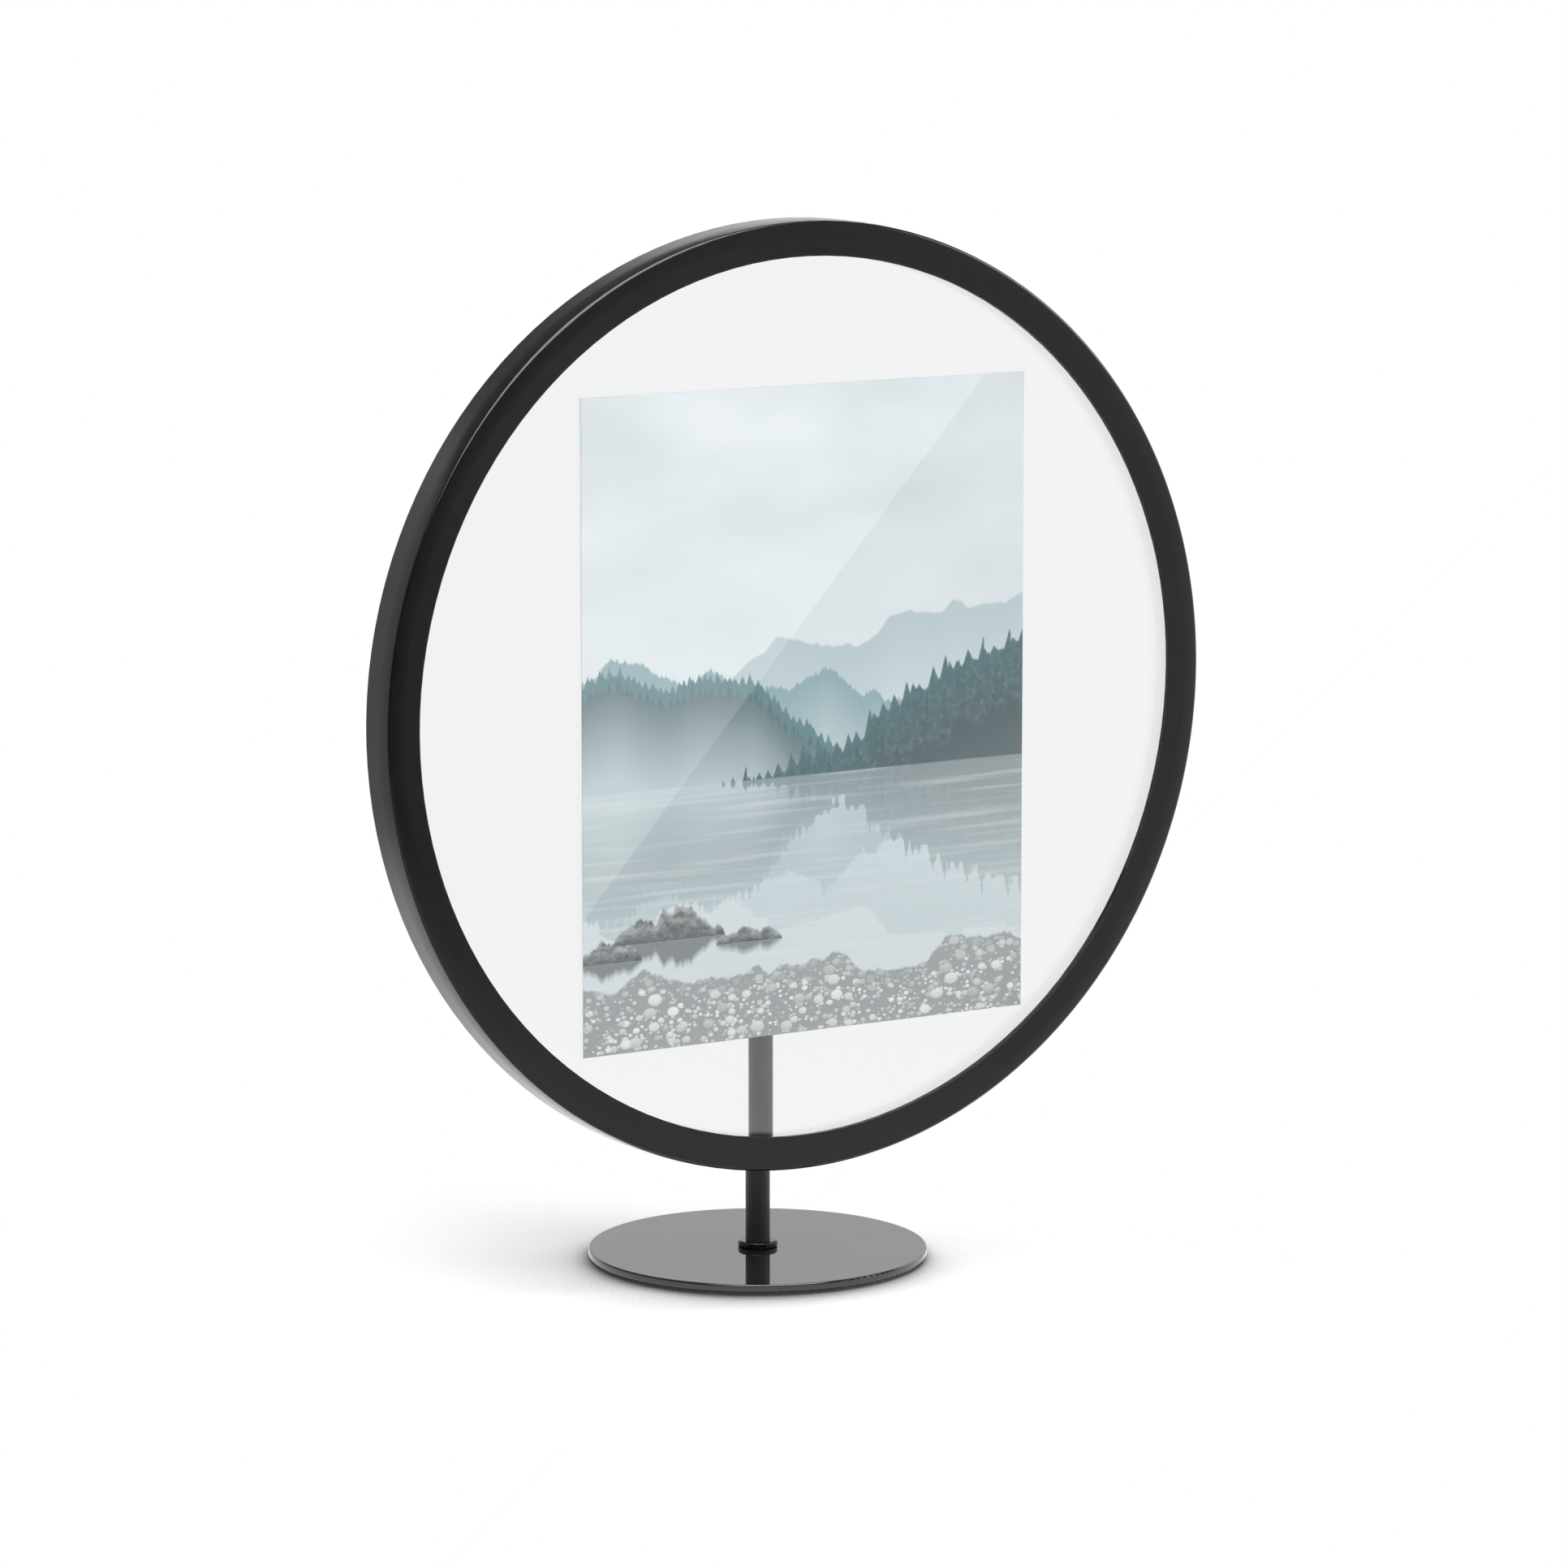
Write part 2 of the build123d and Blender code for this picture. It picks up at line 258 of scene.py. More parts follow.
def glass(name):
    """Clear pane glass with faint smears, which light on its way to a surface passes straight through."""
    material, tree, place, shader, output = new_material(name)
    smears = noise(tree, place, GLASS_SMEARS, detail=4)
    fill(tree, shader, {
        "Base Color": GLASS_TINT,
        "Transmission Weight": 1.0,
        "IOR": 1.5,
        "Roughness": ramp(tree, smears, SMEAR_SPAN, (0.0, 0.012)),
    })
    clear = node(tree, "ShaderNodeBsdfTransparent", {"Color": GLASS_LIGHT})
    path = node(tree, "ShaderNodeLightPath")
    light_ray = calc(tree, "MAXIMUM", path.outputs["Is Shadow Ray"], path.outputs["Is Diffuse Ray"])
    mixed = node(tree, "ShaderNodeMixShader", {0: light_ray, 1: shader.outputs[0], 2: clear.outputs[0]})
    tree.links.new(mixed.outputs[0], output.inputs["Surface"])
    return material


# Printed picture, a misty lake, in shares of the print's width and height
SKY_PALE = (0.77, 0.805, 0.825, 1)
SKY_DEEP = (0.62, 0.675, 0.705, 1)
CLOUD_STRETCH = (1, 2.6)
CLOUD_SCALE = 2.3
CLOUD_SPAN = (0.35, 0.68)
MIST = (0.75, 0.79, 0.81, 1)
MIST_HEIGHTS = (0.55, 0.8)
MIST_SHARE = 0.8
# Ridges from far to near: foot, slope, rise, breadth, seed, tree height, trees across, rows, mist, colour
RIDGES = (
    (0.60, 0.06, 0.16, 1.7, 3.1, 0.0, 40, 1, 0.9, (0.47, 0.565, 0.60, 1)),
    (0.53, -0.14, 0.14, 2.3, 8.4, 0.006, 120, 1, 0.85, (0.27, 0.40, 0.435, 1)),
    (0.475, -0.24, 0.08, 2.6, 12.7, 0.018, 84, 2, 0.75, (0.09, 0.205, 0.23, 1)),
    (0.435, 0.30, 0.07, 2.4, 21.2, 0.036, 46, 5, 0.1, (0.045, 0.12, 0.135, 1)),
)
RIDGE_DETAIL = 6
VALLEY_MIST = (0.62, 0.71, 0.735, 1)
VALLEY_DEPTHS = (0.01, 0.16)
# Rows of firs: drop, thinning and shift from row to row, and a tree's half width, least size and soft edge
ROW_DROP = 0.021
ROW_THINNING = 0.12
ROW_SHIFT = 7.3
FIR_HALF_WIDTH = 0.55
FIR_LEAST = 0.35
FIR_EDGE = 0.004
# Light on the firs: colours, share at the tips, depth, gain with the trees' height, and the grain in it
FIR_LIGHT = (0.17, 0.30, 0.32, 1)
FIR_DARK = (0.008, 0.035, 0.042, 1)
FIR_LIT_SHARE = 0.6
FIR_LIT_DEPTH = 0.03
FIR_LIT_GAIN = 40
FIR_GRAIN = 90
FIR_GRAIN_SPAN = (0.4, 0.7)
# Lake: level, colour of its depth, ripples and streaks across and upwards, and squeeze of the mirrored hills
WATERLINE = 0.40
WATER = (0.64, 0.70, 0.725, 1)
WATER_DEPTHS = (0, 0.22)
WATER_SHARES = (0.3, 0.7)
WATER_EDGE = (-0.001, 0.001)
RIPPLES = (5, 62)
RIPPLE_SWAY = 0.05
STREAKS = (2, 90)
STREAK_SPAN = (0.5, 0.7)
STREAK_SHARES = (0, 0.4)
MIRROR_SQUEEZE = 0.9
# Rocks in the water: across, level, half width, height, seed
ROCKS = (
    (0.19, 0.165, 0.125, 0.052, 1.0),
    (0.37, 0.150, 0.075, 0.026, 5.0),
    (0.06, 0.140, 0.07, 0.034, 9.0),
)
ROCK_LIGHT = (0.47, 0.485, 0.485, 1)
ROCK_DARK = (0.055, 0.07, 0.075, 1)
ROCK_JAGS = 16
ROCK_JAG_SIZES = (0.45, 1.35)
ROCK_FACETS = 34
ROCK_FACET_SPAN = (0.35, 0.65)
ROCK_FACET_LIGHT = (0.2, 1.2)
ROCK_SPECKS = 130
ROCK_SPECK_LIGHT = (-0.15, 0.15)
ROCK_FOOT_LIGHT = 0.1
ROCK_LEAST = 0.004
ROCK_EDGE = 0.003
ROCK_MIRROR_SQUEEZE = 0.8
ROCK_MIRROR_EDGE = 0.012
ROCK_MIRROR_SHARE = 0.75
# Pebbles on the shore: sizes, colours and shading, and how flat they and the rocks look
PEBBLE_SIZES = (0.012, 0.02, 0.034)
PEBBLE_DARK = (0.45, 0.465, 0.465, 1)
PEBBLE_PALE = (0.85, 0.855, 0.845, 1)
PEBBLE_GAP = (0.33, 0.35, 0.355, 1)
PEBBLE_RANDOMNESS = 0.85
PEBBLE_RADII = (0.26, 0.5)
PEBBLE_LIGHT = (-0.35, 0.35)
PEBBLE_SPECKS = 210
PEBBLE_SPECK_LIGHT = (-0.2, 0.2)
PEBBLE_RIM = 0.12
PEBBLE_RIM_SHARE = 0.5
PEBBLE_EDGE = 0.04
STONE_FLATNESS = (1, 1.7)
# Edge of the shore: waves across, seed, detail, heights, soft edge, and the wet strip
SHORE_WAVES = 5
SHORE_SEED = 30.0
SHORE_DETAIL = 8
SHORE_HEIGHTS = (0.08, 0.13)
SHORE_EDGE = (-0.002, 0.002)
SHORE_WET = (0.008, 0.035)
SHORE_WET_SHARE = 0.5
# Paper behind the picture and on its edges, and the turn to the front from which a face shows the picture
PAPER_DARK = (0.74, 0.74, 0.72, 1)
PAPER_PALE = (0.84, 0.84, 0.82, 1)
FRONT_TURN = (-0.9, -0.8)


def stretched(tree, across, height, scales):
    """Place in the picture, scaled across and upwards."""
    return vector(tree, calc(tree, "MULTIPLY", across, scales[0]), calc(tree, "MULTIPLY", height, scales[1]))


def sky(tree, across, height):
    """Clouds that fade into mist above the hills."""
    clouds = noise(tree, stretched(tree, across, height, CLOUD_STRETCH), CLOUD_SCALE, detail=5)
    picture = blend_colour(tree, ramp(tree, clouds, CLOUD_SPAN), SKY_DEEP, SKY_PALE)
    return blend_colour(tree, ramp(tree, height, MIST_HEIGHTS, (MIST_SHARE, 0)), picture, MIST)


def fir_tips(tree, across, tallest, count, start):
    """Heights of a row of firs across the picture."""
    along = calc(tree, "ADD", calc(tree, "MULTIPLY", across, count), start)
    firs = node(tree, "ShaderNodeTexVoronoi", {"W": along, "Scale": 1.0}, voronoi_dimensions="1D")
    spike = ramp(tree, firs.outputs["Distance"], (0, FIR_HALF_WIDTH), (tallest, 0))
    chance = node(tree, "ShaderNodeSeparateColor", {0: firs.outputs["Color"]}).outputs[0]
    return calc(tree, "MULTIPLY", spike, ramp(tree, chance, to=(FIR_LEAST, 1)))


def landscape(tree, across, height):
    """Sky and wooded ridges above a height."""
    picture = sky(tree, across, height)
    grain = noise(tree, vector(tree, across, height), FIR_GRAIN, detail=3, roughness=0.65)
    grain = ramp(tree, grain, FIR_GRAIN_SPAN)
    for foot, slope, rise, breadth, seed, tree_height, count, rows, mist, colour in RIDGES:
        wave = calc(tree, "SUBTRACT", line_noise(tree, across, breadth, seed, RIDGE_DETAIL), NOISE_CENTRE)
        wave = calc(tree, "MULTIPLY", wave, rise * 2)
        top = calc(tree, "ADD", wave, ramp(tree, across, to=(foot - slope / 2, foot + slope / 2)))
        hazed = ramp(tree, calc(tree, "SUBTRACT", top, height), VALLEY_DEPTHS, (0, mist))
        gain = min(1, tree_height * FIR_LIT_GAIN)
        for row in range(rows):
            trees = count * (1 - ROW_THINNING * row)
            firs = fir_tips(tree, across, tree_height, trees, seed + ROW_SHIFT * row)
            tips = calc(tree, "SUBTRACT", calc(tree, "ADD", top, firs), row * ROW_DROP)
            below = calc(tree, "SUBTRACT", tips, height)
            lit = ramp(tree, below, (0, FIR_LIT_DEPTH), (FIR_LIT_SHARE, 0))
            lit = calc(tree, "MULTIPLY", calc(tree, "MULTIPLY", lit, grain), gain)
            shade = blend_colour(tree, row / rows, colour, FIR_DARK) if row else colour
            wood = blend_colour(tree, hazed, blend_colour(tree, lit, shade, FIR_LIGHT), VALLEY_MIST)
            picture = blend_colour(tree, ramp(tree, below, (0, FIR_EDGE)), picture, wood)
    return picture


def add_rocks(tree, picture, across, height, stone_place):
    """Rocks that stand in the lake, with their reflections."""
    specks = noise(tree, stone_place, ROCK_SPECKS, detail=4, roughness=0.7)
    specks = ramp(tree, specks, NOISE_MIDDLE, ROCK_SPECK_LIGHT)
    facets = noise(tree, stone_place, ROCK_FACETS, detail=3, roughness=0.6)
    facets = ramp(tree, facets, ROCK_FACET_SPAN, ROCK_FACET_LIGHT)
    for middle, level, half_width, top, seed in ROCKS:
        x = calc(tree, "DIVIDE", calc(tree, "SUBTRACT", across, middle), half_width)
        dome = calc(tree, "SUBTRACT", 1.0, calc(tree, "MULTIPLY", x, x))
        dome = calc(tree, "SQRT", calc(tree, "MAXIMUM", dome, 0))
        jags = line_noise(tree, across, ROCK_JAGS, seed, detail=5)
        jags = ramp(tree, jags, NOISE_MIDDLE, [size * top for size in ROCK_JAG_SIZES])
        profile = calc(tree, "MULTIPLY", dome, jags)
        up = calc(tree, "SUBTRACT", height, level)
        share = calc(tree, "DIVIDE", up, calc(tree, "MAXIMUM", profile, ROCK_LEAST))
        light = calc(tree, "MULTIPLY", ramp(tree, share, to=(ROCK_FOOT_LIGHT, 1)), facets)
        stone = blend_colour(tree, calc(tree, "ADD", light, specks), ROCK_DARK, ROCK_LIGHT)
        mirrored = calc(tree, "ADD", calc(tree, "MULTIPLY", profile, ROCK_MIRROR_SQUEEZE), up)
        mirrored = ramp(tree, mirrored, (0, ROCK_MIRROR_EDGE), (0, ROCK_MIRROR_SHARE))
        under = calc(tree, "MULTIPLY", mirrored, ramp(tree, up, WATER_EDGE, (1, 0)))
        picture = blend_colour(tree, under, picture, ROCK_DARK)
        solid = ramp(tree, calc(tree, "SUBTRACT", profile, up), (0, ROCK_EDGE))
        above = calc(tree, "MULTIPLY", solid, ramp(tree, up, WATER_EDGE))
        picture = blend_colour(tree, above, picture, stone)
    return picture


def add_shore(tree, picture, across, height, stone_place):
    """Shore of small pebbles with larger ones among them, along the foot of the picture."""
    specks = noise(tree, stone_place, PEBBLE_SPECKS, detail=3, roughness=0.7)
    specks = ramp(tree, specks, NOISE_MIDDLE, PEBBLE_SPECK_LIGHT)
    stones = PEBBLE_GAP
    for size in PEBBLE_SIZES:
        inputs = {"Vector": stone_place, "Scale": 1 / size, "Randomness": PEBBLE_RANDOMNESS}
        cells = node(tree, "ShaderNodeTexVoronoi", inputs)
        chance = node(tree, "ShaderNodeSeparateColor", {0: cells.outputs["Color"]})
        offset = vector_calc(tree, "SUBTRACT", stone_place, cells.outputs["Position"])
        rise = node(tree, "ShaderNodeSeparateXYZ", {0: offset}).outputs["Y"]
        light = ramp(tree, rise, (-size / 2, size / 2), PEBBLE_LIGHT)
        light = calc(tree, "ADD", calc(tree, "ADD", light, chance.outputs[0]), specks)
        stone = blend_colour(tree, light, PEBBLE_DARK, PEBBLE_PALE)
        radius = ramp(tree, chance.outputs[1], to=PEBBLE_RADII)
        inside = calc(tree, "SUBTRACT", radius, cells.outputs["Distance"])
        rim = ramp(tree, inside, (0, PEBBLE_RIM), (PEBBLE_RIM_SHARE, 0))
        stone = blend_colour(tree, rim, stone, PEBBLE_GAP)
        stones = blend_colour(tree, ramp(tree, inside, (0, PEBBLE_EDGE)), stones, stone)
    edge = line_noise(tree, across, SHORE_WAVES, SHORE_SEED, SHORE_DETAIL)
    inland = calc(tree, "SUBTRACT", ramp(tree, edge, NOISE_MIDDLE, SHORE_HEIGHTS), height)
    wet = blend_colour(tree, SHORE_WET_SHARE, stones, PEBBLE_GAP)
    stones = blend_colour(tree, ramp(tree, inland, SHORE_WET), wet, stones)
    return blend_colour(tree, ramp(tree, inland, SHORE_EDGE), picture, stones)


def lake_picture(tree, across, height):
    """Landscape, its reflection in the lake, rocks and a pebble shore."""
    depth = calc(tree, "SUBTRACT", WATERLINE, height)
    ripple = noise(tree, stretched(tree, across, height, RIPPLES), 1, detail=3)
    sway = calc(tree, "MULTIPLY", calc(tree, "SUBTRACT", ripple, NOISE_CENTRE), RIPPLE_SWAY)
    mirrored = calc(tree, "ADD", WATERLINE, calc(tree, "MULTIPLY", depth, MIRROR_SQUEEZE))
    lake = landscape(tree, across, calc(tree, "ADD", mirrored, sway))
    lake = blend_colour(tree, ramp(tree, depth, WATER_DEPTHS, WATER_SHARES), lake, WATER)
    streaks = noise(tree, stretched(tree, across, height, STREAKS), 1, detail=4)
    lake = blend_colour(tree, ramp(tree, streaks, STREAK_SPAN, STREAK_SHARES), lake, SKY_PALE)
    picture = blend_colour(tree, ramp(tree, depth, WATER_EDGE), landscape(tree, across, height), lake)
    stone_place = stretched(tree, across, height, STONE_FLATNESS)
    picture = add_rocks(tree, picture, across, height, stone_place)
    return add_shore(tree, picture, across, height, stone_place)


def photo_print(name):
    """Satin print: the picture in front, white paper behind and on the edges."""
    material, tree, place, shader, _ = new_material(name)
    low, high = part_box("photo_print")
    split = node(tree, "ShaderNodeSeparateXYZ", {"Vector": place})
    across = ramp(tree, split.outputs["X"], (low.x, high.x))
    height = ramp(tree, split.outputs["Z"], (low.z, high.z))
    side = node(tree, "ShaderNodeTexCoord").outputs["Normal"]
    facing = node(tree, "ShaderNodeSeparateXYZ", {"Vector": side}).outputs["Y"]
    fibres = noise(tree, place, PAPER_FIBRES, detail=4, roughness=0.6)
    paper = blend_colour(tree, fibres, PAPER_DARK, PAPER_PALE)
    front = ramp(tree, facing, FRONT_TURN, (1, 0))
    fill(tree, shader, {
        "Base Color": blend_colour(tree, front, paper, lake_picture(tree, across, height)),
        "Roughness": ramp(tree, fibres, to=(0.36, 0.46)),
        "Normal": bump(tree, fibres, PAPER_GRAIN),
        "Specular IOR Level": 0.35,
    })
    return material


# Camera in metres and radians, with its sensor and lens in millimetres
VIEW_YAW = math.radians(31.97)
CAMERA_DISTANCE = 1.7772
CAMERA_HEIGHT = 0.4189
CAMERA_PITCH = math.radians(9.128)
CAMERA_PAN = math.radians(0.236)
CAMERA_SENSOR = 36.0
CAMERA_LENS = 149.88
CAMERA_CLIP = 100

# Colours of the light, levels of the room in reflections, and how much of it the floor reflects and glows
WHITE = (1, 1, 1, 1)
BLACK = (0, 0, 0, 1)
MIRRORED_WHITE = (1.0, 0.972, 1.015, 1)
AMBIENT = 0.55
ROOM_CEILING = 0.2
ROOM_FRONT = 0.08
ROOM_LEFT = 0.6
FLOOR_ALBEDO = 0.8
FLOOR_FILL = 0.23
FLOOR_NEAR = 0.72
FLOOR_BEHIND = 0.35
# Where the room's light changes in reflections, as cosines of the angle to each side
CEILING_SIDE = (0.36, 0.5)
FRONT_SIDE = (-0.08, 0.76)
LEFT_SIDE = (0.62, 0.9)
# Floor in metres: its size, and where its dim left, shadow, back, dim front and foot start or end
FLOOR_SIZE = 26.0
FLOOR_LEFT_START = (0.25, 0.5)
FLOOR_SHADOW_END = (0.08, 0.22)
FLOOR_BACK_START = (0.0, 0.06)
FLOOR_DIM_START = (0.25, 0.8)
FLOOR_FOOT_END = (0.065, 0.1)
# Way to the floor's back from the camera's side, and levels of the room at which the floor counts as bright
FLOOR_BACK_SIDE = (0.5, 1)
FLOOR_BRIGHT = (0.75, 1.0)
# Contact shadow: the side its light comes from, its reach in metres, depth and samples
CONTACT_SIDE = (0.13, 0.81, 0.5)
CONTACT_REACH = 0.046
CONTACT_DEPTH = 2.2
CONTACT_SAMPLES = 8
# Glare on the print's upper left half: its corners in shares of the print, its card's reach and strength
GLARE_AREA = ((0.903, 1.0), (-0.005, 0.212), (-0.001, 1.0))
GLARE_REACH = 0.29
GLARE_STRENGTH = 2.0
# Softboxes, and the card that reflections show for the key: place from the camera's side, size and strength
KEY_LAMP = ((0.05, -0.8, 1.45), 1.1, 5.5)
SIDE_LAMP = ((1.4, 0.1, 0.75), 0.6, 4.0)
KEY_CARD = ((0.15, -0.7, 1.5), 1.75, 7.0)
# Width in metres over which the card's light fades at its edges
KEY_CARD_FADE = 0.4


def view_vector(right, away, up=0.0):
    """Vector from the camera's side, which the yaw turns away from the ring's front: right, away and up."""
    return Matrix.Rotation(-VIEW_YAW, 3, "Z") @ Vector((right, away, up))


def toward(tree, place, direction):
    """How far a place lies along a direction."""
    return vector_calc(tree, "DOT_PRODUCT", place, direction)


def background_rays(tree):
    """1 for rays that see the background, straight or through glass, and 1 for rays that see it mirrored."""
    path = node(tree, "ShaderNodeLightPath")
    seen = calc(tree, "MAXIMUM", path.outputs["Is Camera Ray"], path.outputs["Is Transmission Ray"])
    mirrored = calc(tree, "SUBTRACT", path.outputs["Is Glossy Ray"], path.outputs["Is Transmission Ray"])
    return seen, calc(tree, "MAXIMUM", mirrored, 0.0)


def room_light(tree, direction):
    """Studio in reflections: white behind and to the right, dimmer in front and, from afar, at the left."""
    level = vector_calc(tree, "NORMALIZE", vector_calc(tree, "MULTIPLY", direction, (1, 1, 0)))
    front = ramp(tree, toward(tree, level, view_vector(0, -1)), FRONT_SIDE, (1, ROOM_FRONT))
    left = ramp(tree, toward(tree, level, view_vector(-1, 0)), LEFT_SIDE, smooth=True)
    far = ramp(tree, vector_calc(tree, "LENGTH", direction), FLOOR_LEFT_START)
    left = ramp(tree, calc(tree, "MULTIPLY", left, far), to=(1, ROOM_LEFT))
    return calc(tree, "MINIMUM", front, left)


def make_world():
    """White backdrop for what is seen, with a dim ceiling in reflections."""
    world = bpy.data.worlds.new("studio")
    bpy.context.scene.world = world
    world.use_nodes = True
    tree = world.node_tree
    tree.nodes.clear()
    seen, mirrored = background_rays(tree)
    direction = node(tree, "ShaderNodeTexCoord").outputs["Generated"]
    above = ramp(tree, toward(tree, direction, (0, 0, 1)), CEILING_SIDE, (1, ROOM_CEILING), smooth=True)
    room = calc(tree, "MINIMUM", above, room_light(tree, direction))
    strength = blend_value(tree, seen, blend_value(tree, mirrored, AMBIENT, room), 1.0)
    colour = blend_colour(tree, mirrored, WHITE, MIRRORED_WHITE)
    backdrop = node(tree, "ShaderNodeBackground", {"Color": colour, "Strength": strength})
    node(tree, "ShaderNodeOutputWorld", {"Surface": backdrop.outputs[0]})


def square(half):
    """Corners of a level square round the origin, from half its size."""
    return [Vector((x * half, y * half, 0)) for x, y in ((-1, -1), (1, -1), (1, 1), (-1, 1))]


def stage_mesh(name, corners, material):
    """Flat stage piece with one face."""
    mesh = bpy.data.meshes.new(name)
    mesh.from_pydata(corners, [], [tuple(range(len(corners)))])
    mesh.materials.append(material)
    piece = bpy.data.objects.new(name, mesh)
    bpy.context.scene.collection.objects.link(piece)
    return piece


def contact_shadow(tree):
    """Share of the light from behind that reaches a place near the object's foot."""
    side = view_vector(*CONTACT_SIDE).normalized()
    inputs = {"Distance": CONTACT_REACH, "Normal": vector(tree, *side)}
    open_share = node(tree, "ShaderNodeAmbientOcclusion", inputs, samples=CONTACT_SAMPLES).outputs["AO"]
    return calc(tree, "POWER", open_share, CONTACT_DEPTH)


def make_floor():
    """Large white floor that takes the object's shadow near it and is plain white further off."""
    material, tree, place, shader, _ = new_material("floor_white")
    seen, mirrored = background_rays(tree)
    reach = vector_calc(tree, "LENGTH", place)
    behind = ramp(tree, toward(tree, place, view_vector(*FLOOR_BACK_SIDE)), FLOOR_BACK_START, smooth=True)
    far = calc(tree, "MAXIMUM", ramp(tree, reach, FLOOR_SHADOW_END, smooth=True), behind)
    foot = ramp(tree, reach, FLOOR_FOOT_END, (1, 0))
    near = calc(tree, "MAXIMUM", ramp(tree, reach, FLOOR_DIM_START, (FLOOR_NEAR, ROOM_FRONT)), foot)
    room = calc(tree, "MAXIMUM", room_light(tree, place), near)
    contact = blend_value(tree, mirrored, contact_shadow(tree), 1.0)
    albedo = blend_value(tree, seen, FLOOR_ALBEDO, ramp(tree, far, to=(FLOOR_ALBEDO, 0)))
    albedo = blend_value(tree, mirrored, albedo, ramp(tree, room, FLOOR_BRIGHT, (0, FLOOR_BEHIND)))
    albedo = calc(tree, "MULTIPLY", albedo, contact)
    glow = blend_value(tree, mirrored, ramp(tree, far, to=(FLOOR_FILL, 1)), room)
    glow = calc(tree, "MULTIPLY", calc(tree, "MAXIMUM", seen, mirrored), glow)
    fill(tree, shader, {
        "Base Color": node(tree, "ShaderNodeCombineColor", {0: albedo, 1: albedo, 2: albedo}).outputs[0],
        "Roughness": 1.0,
        "Specular IOR Level": 0.0,
        "Emission Color": blend_colour(tree, mirrored, WHITE, MIRRORED_WHITE),
        "Emission Strength": calc(tree, "MULTIPLY", glow, contact),
    })
    stage_mesh("floor", square(FLOOR_SIZE / 2), material)


def make_card(name, corners, strength, edge_share=None):
    """Card out of the picture, seen only in reflections. Its light may fade towards its edges."""
    material, tree, place, shader, _ = new_material(name)
    if edge_share:
        strength = calc(tree, "MULTIPLY", edge_share(tree, place), strength)
    fill(tree, shader, {
        "Base Color": BLACK,
        "Specular IOR Level": 0.0,
        "Emission Color": WHITE,
        "Emission Strength": strength,
    })
    card = stage_mesh(name, corners, material)
    card.visible_camera = False
    card.visible_diffuse = False
    card.visible_transmission = False
    card.visible_shadow = False


def make_key_card(target, place, size, strength):
    """Square card with soft edges that faces a target and stands for the key softbox in reflections."""
    middle = view_vector(*place)
    turn = (target - middle).to_track_quat("-Z", "Y")
    inner = (size - KEY_CARD_FADE) / 2
    outer = (size + KEY_CARD_FADE) / 2

    def edge_share(tree, spot):
        """1 on the card's middle, and 0 at its edges."""
        offset = vector_calc(tree, "SUBTRACT", spot, middle)
        shares = []
        for axis in ((1, 0, 0), (0, 1, 0)):
            out = calc(tree, "ABSOLUTE", toward(tree, offset, turn @ Vector(axis)))
            shares.append(ramp(tree, out, (inner, outer), (1, 0), smooth=True))
        return calc(tree, "MULTIPLY", *shares)

    make_card("key_card", [middle + turn @ corner for corner in square(outer)], strength, edge_share)


def camera_place():
    """Where the camera stands."""
    return view_vector(0, -CAMERA_DISTANCE, CAMERA_HEIGHT)


def glare_corners():
    """Corners of the card that the camera sees mirrored in the front pane, over part of the print."""
    low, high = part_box("photo_print")
    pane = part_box("front_glass")[0].y
    eye = camera_place()
    mirrored_eye = Vector((eye.x, 2 * pane - eye.y, eye.z))
    corners = []
    for across, height in GLARE_AREA:
        spot = Vector((low.x + across * (high.x - low.x), pane, low.z + height * (high.z - low.z)))
        corners.append(spot + (spot - mirrored_eye) * GLARE_REACH)
    return corners


def make_lamp(name, target, place, size, strength):
    """Square softbox of a brightness given as a strength of white."""
    data = bpy.data.lights.new(name, "AREA")
    data.shape = "SQUARE"
    data.size = size
    data.energy = strength * math.pi * size * size
    lamp = bpy.data.objects.new(name, data)
    lamp.location = view_vector(*place)
    lamp.rotation_euler = (target - lamp.location).to_track_quat("-Z", "Y").to_euler()
    lamp.visible_camera = False
    bpy.context.scene.collection.objects.link(lamp)
    return lamp


def make_camera():
    """Camera at the photograph's viewing angle."""
    data = bpy.data.cameras.new("camera")
    data.sensor_width = CAMERA_SENSOR
    data.lens = CAMERA_LENS
    data.clip_end = CAMERA_CLIP
    camera = bpy.data.objects.new("camera", data)
    camera.location = camera_place()
    flat = math.cos(CAMERA_PITCH)
    ahead = view_vector(math.sin(CAMERA_PAN) * flat, math.cos(CAMERA_PAN) * flat, -math.sin(CAMERA_PITCH))
    camera.rotation_euler = ahead.to_track_quat("-Z", "Y").to_euler()
    bpy.context.scene.collection.objects.link(camera)
    bpy.context.scene.camera = camera


def grey(level):
    """Neutral colour of one level."""
    return (level, level, level, 1)


def dress(material, *names):
    """Gives CAD nodes their material."""
    for name in names:
        slots = nodes[name].data.materials
        slots.clear()
        slots.append(material)


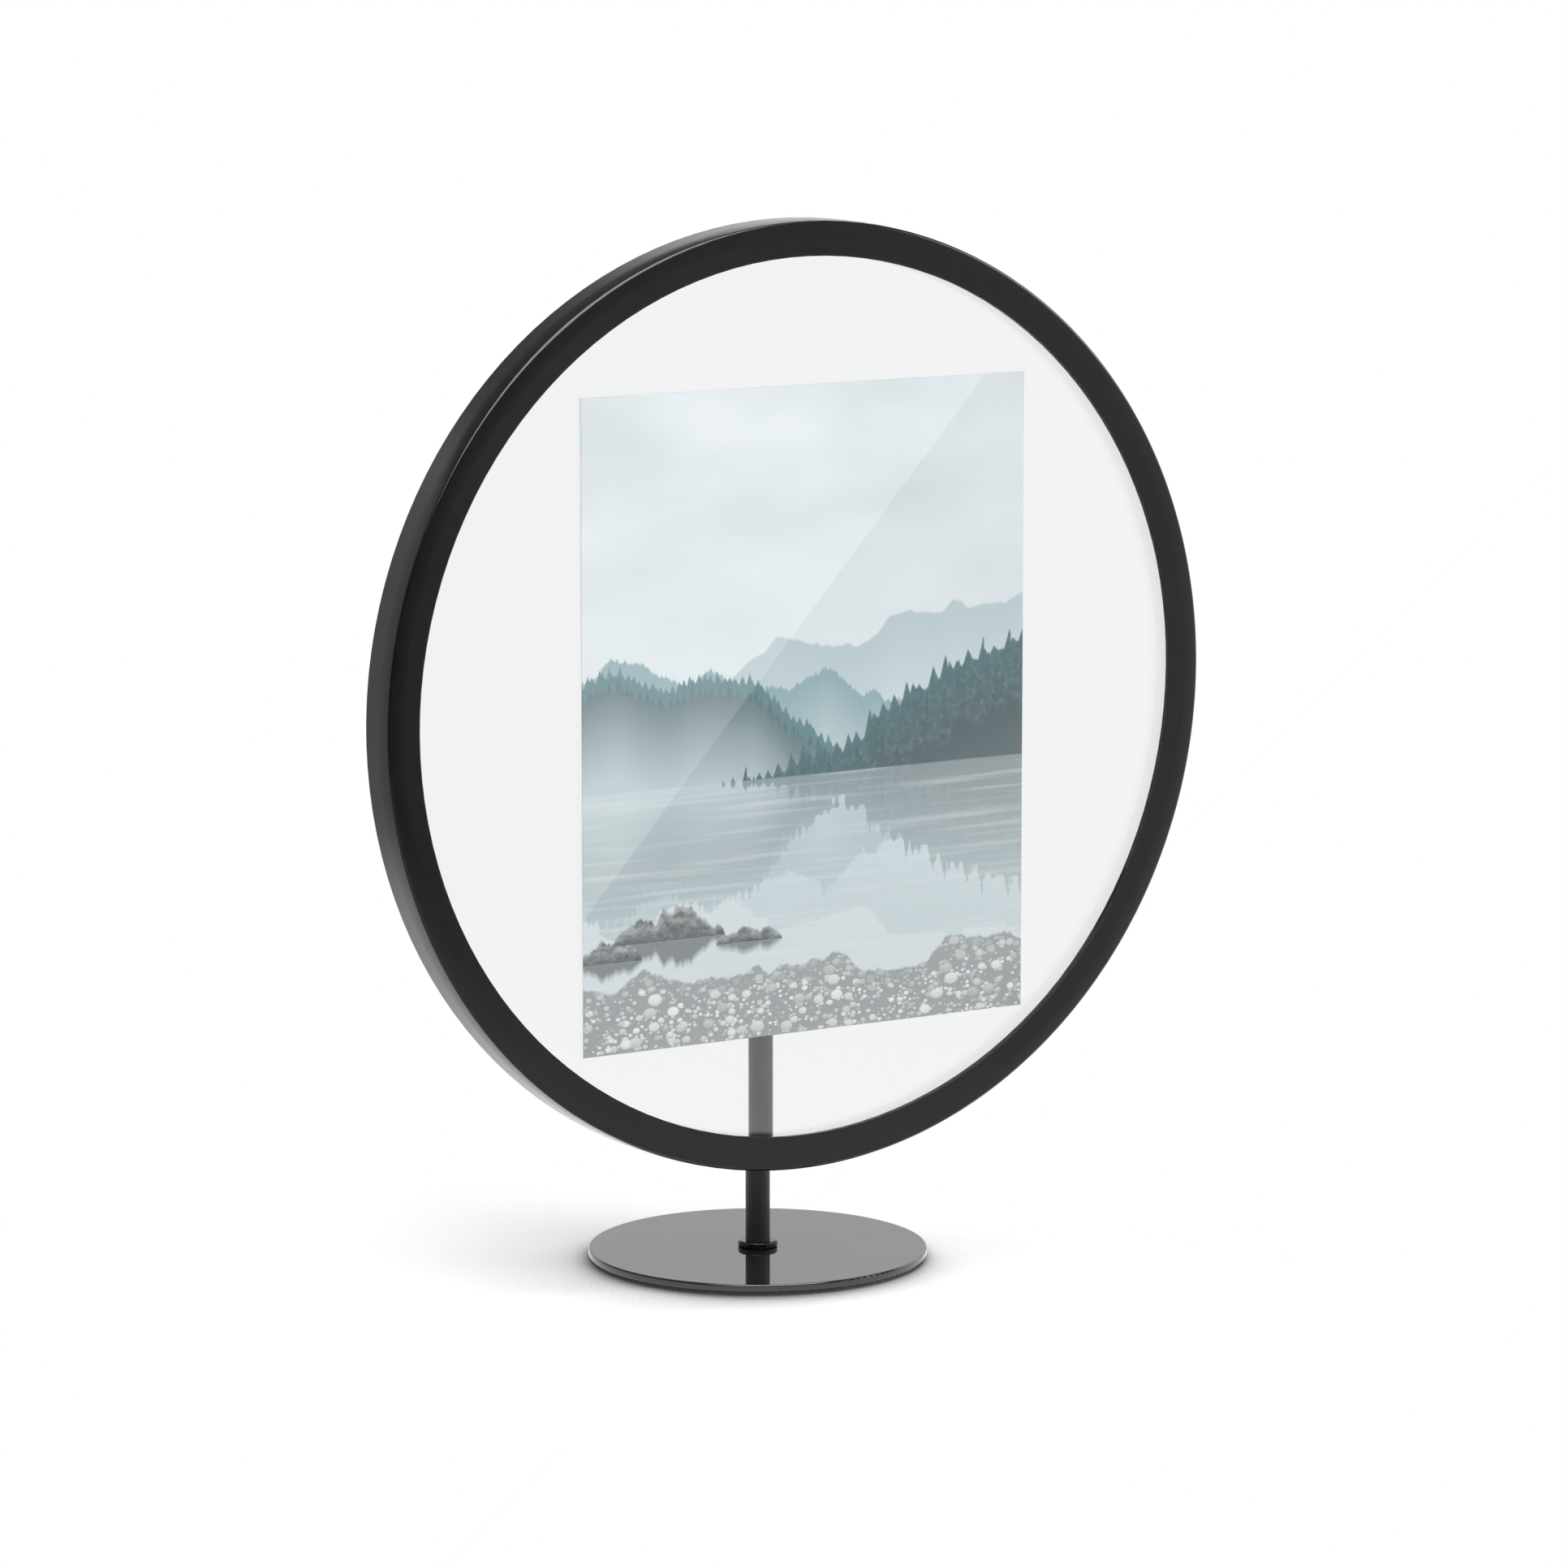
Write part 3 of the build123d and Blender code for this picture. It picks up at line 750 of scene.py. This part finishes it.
# Pairs of colours that each material varies between
RING_COAT = ((0.0028, 0.0027, 0.0028, 1), (0.0095, 0.0092, 0.0095, 1))
POST_COAT = ((0.012, 0.0117, 0.012, 1), (0.024, 0.0235, 0.024, 1))
BASE_COAT = ((0.0113, 0.0101, 0.0119, 1), (0.0224, 0.0206, 0.0232, 1))
SPRING_STEEL = ((0.05, 0.05, 0.053, 1), (0.036, 0.036, 0.038, 1))
SCREW_STEEL = ((0.62, 0.63, 0.64, 1), grey(0.5))
BLACK_NYLON = ((0.012, 0.012, 0.013, 1), (0.03, 0.03, 0.031, 1))
STRIP_RUBBER = (grey(0.012), grey(0.024))
GASKET_FOAM = (grey(0.02), grey(0.006))
PAD_FOAM = ((0.1, 0.097, 0.095, 1), grey(0.05))
TAPE_FOAM = (grey(0.05), grey(0.02))

ring_paint = paint("ring_paint", *RING_COAT, roughness=0.18, spread=0.03, peel=0.000003, cut_edge=True)
dress(ring_paint, "ring_frame")
dress(paint("post_paint", *POST_COAT, roughness=0.5, spread=0.05, peel=0.000003), "post")
dress(paint("collar_paint", *RING_COAT, roughness=0.2, spread=0.03, peel=0.000002), "foot_collar")
base_gloss = paint("base_gloss", *BASE_COAT, roughness=0.05, spread=0.02, peel=0.0000004, shine=0.65)
dress(base_gloss, "base_plate")
fitting_paint = paint("fitting_paint", *RING_COAT, roughness=0.45, spread=0.08, peel=0.00001)
dress(fitting_paint, "pivot_plate", "swivel_head")
dress(metal("spring_steel", *SPRING_STEEL, roughness=0.4, grain=400), "retaining_ring")
screw_steel = metal("screw_steel", *SCREW_STEEL, roughness=0.3, grain=900)
dress(screw_steel, "tilt_screw", "tilt_nut", "swivel_washer", "swivel_screw", "base_screw")
dress(nylon("nylon", *BLACK_NYLON), "friction_washers", "swivel_bush")
dress(rubber("strip_rubber", *STRIP_RUBBER), "front_gasket")
dress(foam("gasket_foam", *GASKET_FOAM, cell=0.0004), "rear_gasket")
dress(foam("pad_foam", *PAD_FOAM, cell=0.0005), "base_pad")
dress(foam("bond_tape", *TAPE_FOAM, cell=0.0003), "bond_pad")
dress(glass("pane_glass"), "front_glass", "rear_glass")
dress(photo_print("print_paper"), "photo_print")

make_world()
make_floor()
make_card("glare_card", glare_corners(), GLARE_STRENGTH)
middle = (cad_box[0] + cad_box[1]) / 2
make_lamp("key", middle, *KEY_LAMP).visible_glossy = False
make_lamp("side", middle, *SIDE_LAMP)
make_key_card(middle, *KEY_CARD)
make_camera()
bpy.context.scene.view_settings.view_transform = "Standard"
